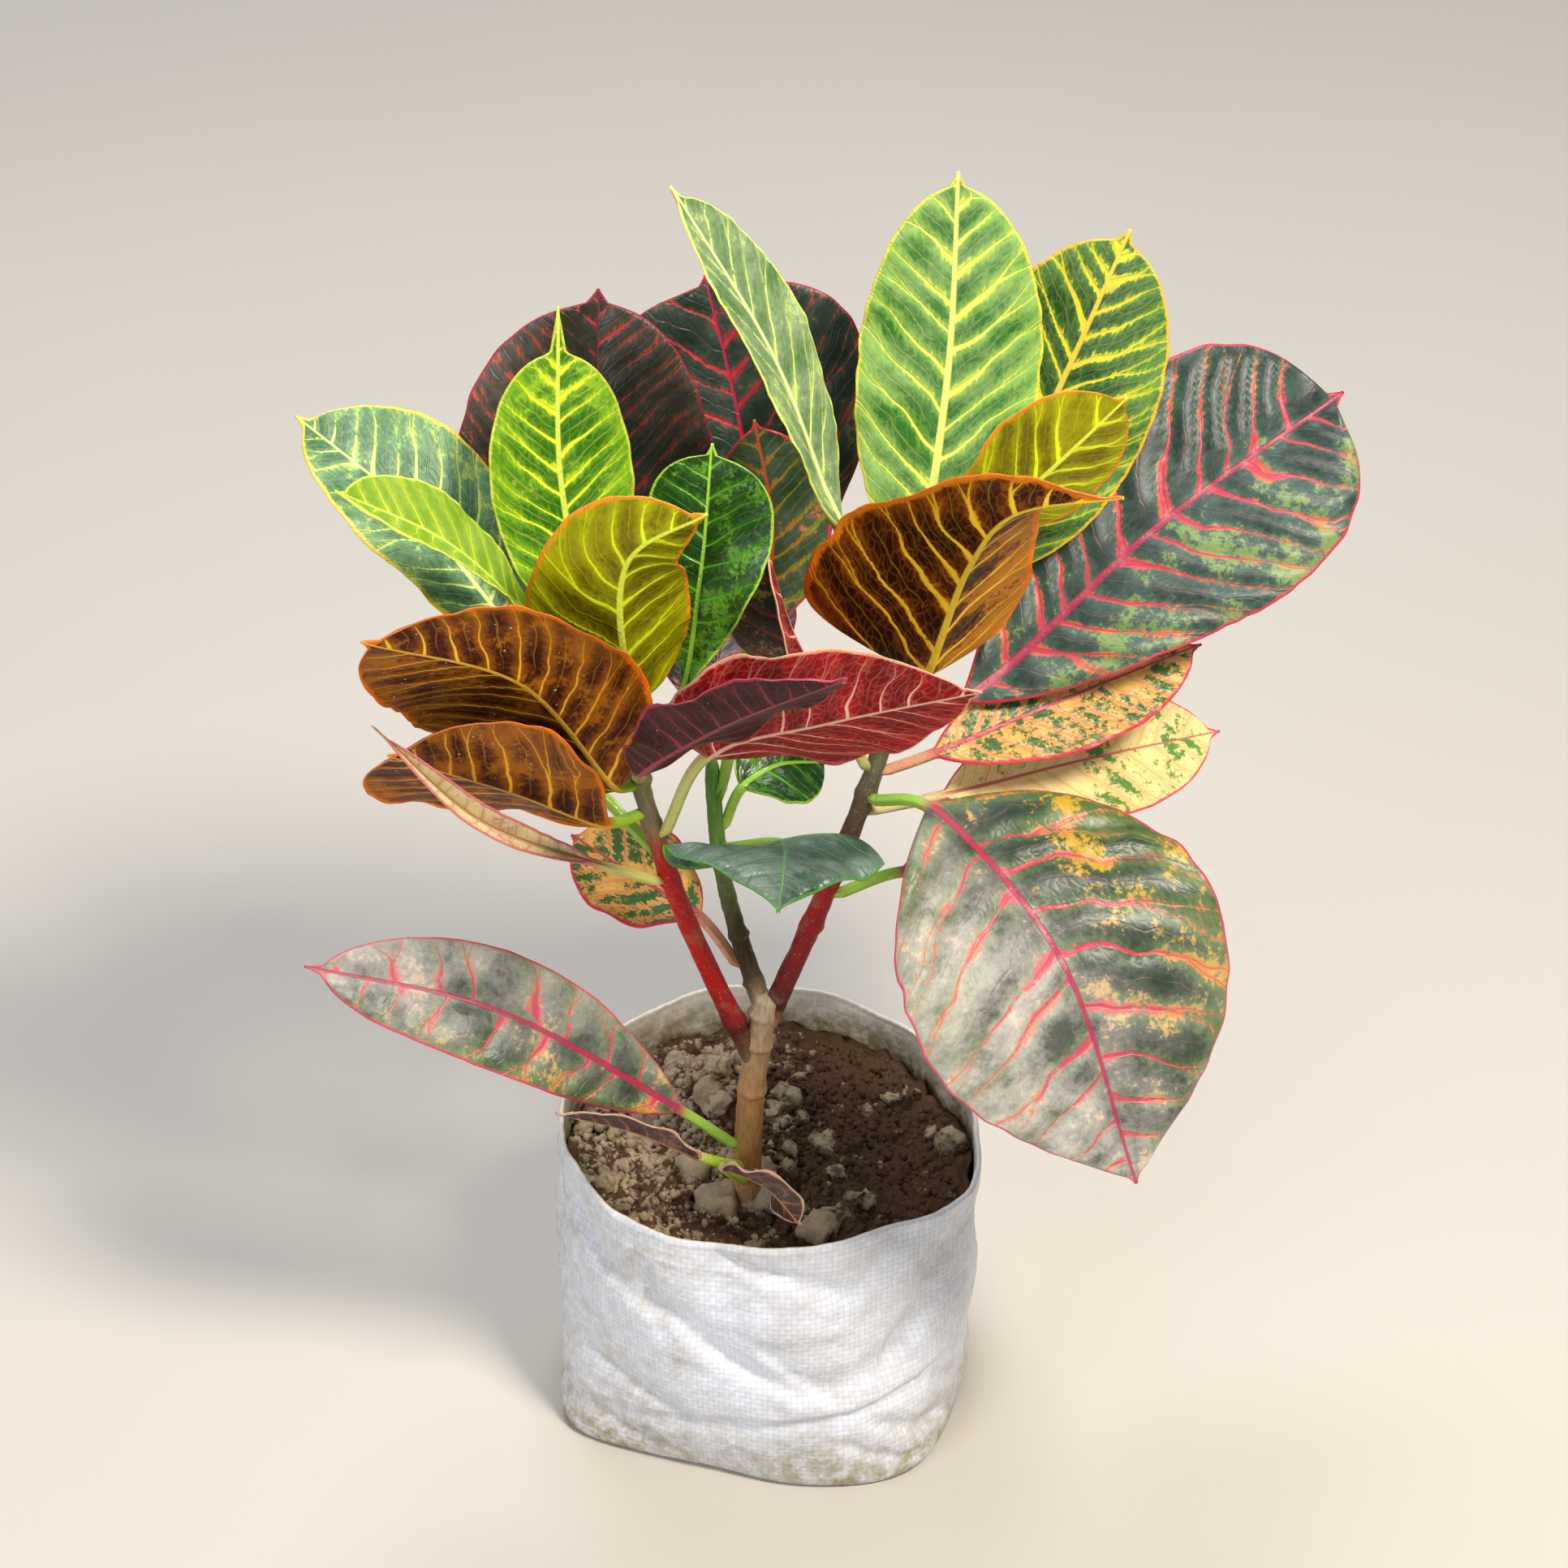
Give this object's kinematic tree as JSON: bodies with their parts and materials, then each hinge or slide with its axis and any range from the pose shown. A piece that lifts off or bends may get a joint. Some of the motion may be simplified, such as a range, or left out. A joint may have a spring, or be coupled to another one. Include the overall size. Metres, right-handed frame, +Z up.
{
  "type": "potted croton plant",
  "caption": "Potted croton with a forked woody stem and broad patterned leaves in green, yellow, red and brown, standing in a filled white woven grow bag.",
  "frame": {"origin": "middle of the grow bag's flat underside, on the surface it stands on", "axes": "+Z up along the way the plant grows, -Y towards the side with the folded front of the sack, +X to the right seen from there"},
  "size_m": [0.3647, 0.2465, 0.5003],
  "materials": {
    "woven_sack": "White woven polypropylene tape cloth, matte",
    "potting_soil": "Crumbly dark brown potting soil, matte",
    "woody_stem": "Tan bark on the trunk, red-brown bark on the shoots",
    "leaf_brown_gold": "Dark brown under-side with golden veins, satin",
    "leaf_cream_spotted": "Cream leaf with dark green islands and a pink margin, satin",
    "leaf_crimson": "Crimson under-side with pink veins, satin",
    "leaf_dark_red_veined": "Near-black green leaf with red veins and margin, satin",
    "leaf_dry_cream": "Dry rolled leaf, papery, matte",
    "leaf_dusty_red_veined": "Dusty dark green leaf with pink-red veins, matte",
    "leaf_glossy_green": "Deep green leaf, glossy",
    "leaf_grey_green": "Dusty grey-green leaf with pale yellow veins, matte",
    "leaf_lime": "Bright lime leaf with yellow veins, satin",
    "leaf_olive_gold": "Olive under-side with yellow-green veins, satin",
    "leaf_yellow_green": "Green leaf with broad yellow veins, satin"
  },
  "bodies": {
    "root": {"bag": "woven_sack", "soil": "potting_soil", "stem": "woody_stem", "leaf_left_grey_green": "leaf_grey_green", "leaf_left_lime_narrow": "leaf_lime", "leaf_left_lime_upright": "leaf_lime", "leaf_left_olive_front": "leaf_olive_gold", "leaf_left_brown_front": "leaf_brown_gold", "leaf_left_brown_low": "leaf_brown_gold", "leaf_left_dark_low": "leaf_glossy_green", "leaf_left_dry_rolled": "leaf_dry_cream", "leaf_left_dark_back": "leaf_dark_red_veined", "leaf_left_green_glossy": "leaf_glossy_green", "leaf_left_maroon_front": "leaf_crimson", "leaf_left_crimson_front": "leaf_crimson", "leaf_left_dark_rear": "leaf_dark_red_veined", "leaf_left_green_rear": "leaf_glossy_green", "leaf_centre_dark_tall": "leaf_dark_red_veined", "leaf_centre_green_back": "leaf_dark_red_veined", "leaf_centre_green_small": "leaf_glossy_green", "leaf_centre_green_side": "leaf_glossy_green", "leaf_centre_pink_low": "leaf_cream_spotted", "leaf_centre_dark_rear": "leaf_dark_red_veined", "leaf_right_grey_narrow": "leaf_grey_green", "leaf_right_red_folded": "leaf_crimson", "leaf_right_lime_tall": "leaf_yellow_green", "leaf_right_green_tall": "leaf_yellow_green", "leaf_right_olive_small": "leaf_olive_gold", "leaf_right_brown_front": "leaf_brown_gold", "leaf_right_dark_large": "leaf_dark_red_veined", "leaf_right_cream_middle": "leaf_cream_spotted", "leaf_right_cream_low": "leaf_cream_spotted", "leaf_right_dark_drooping": "leaf_dusty_red_veined", "leaf_right_dark_hidden": "leaf_dark_red_veined", "leaf_right_dark_rear": "leaf_dark_red_veined", "leaf_right_green_rear": "leaf_glossy_green", "leaf_trunk_dusty": "leaf_dusty_red_veined", "leaf_trunk_brown_left": "leaf_brown_gold", "leaf_trunk_brown_right": "leaf_brown_gold"}
  },
  "joints": []
}
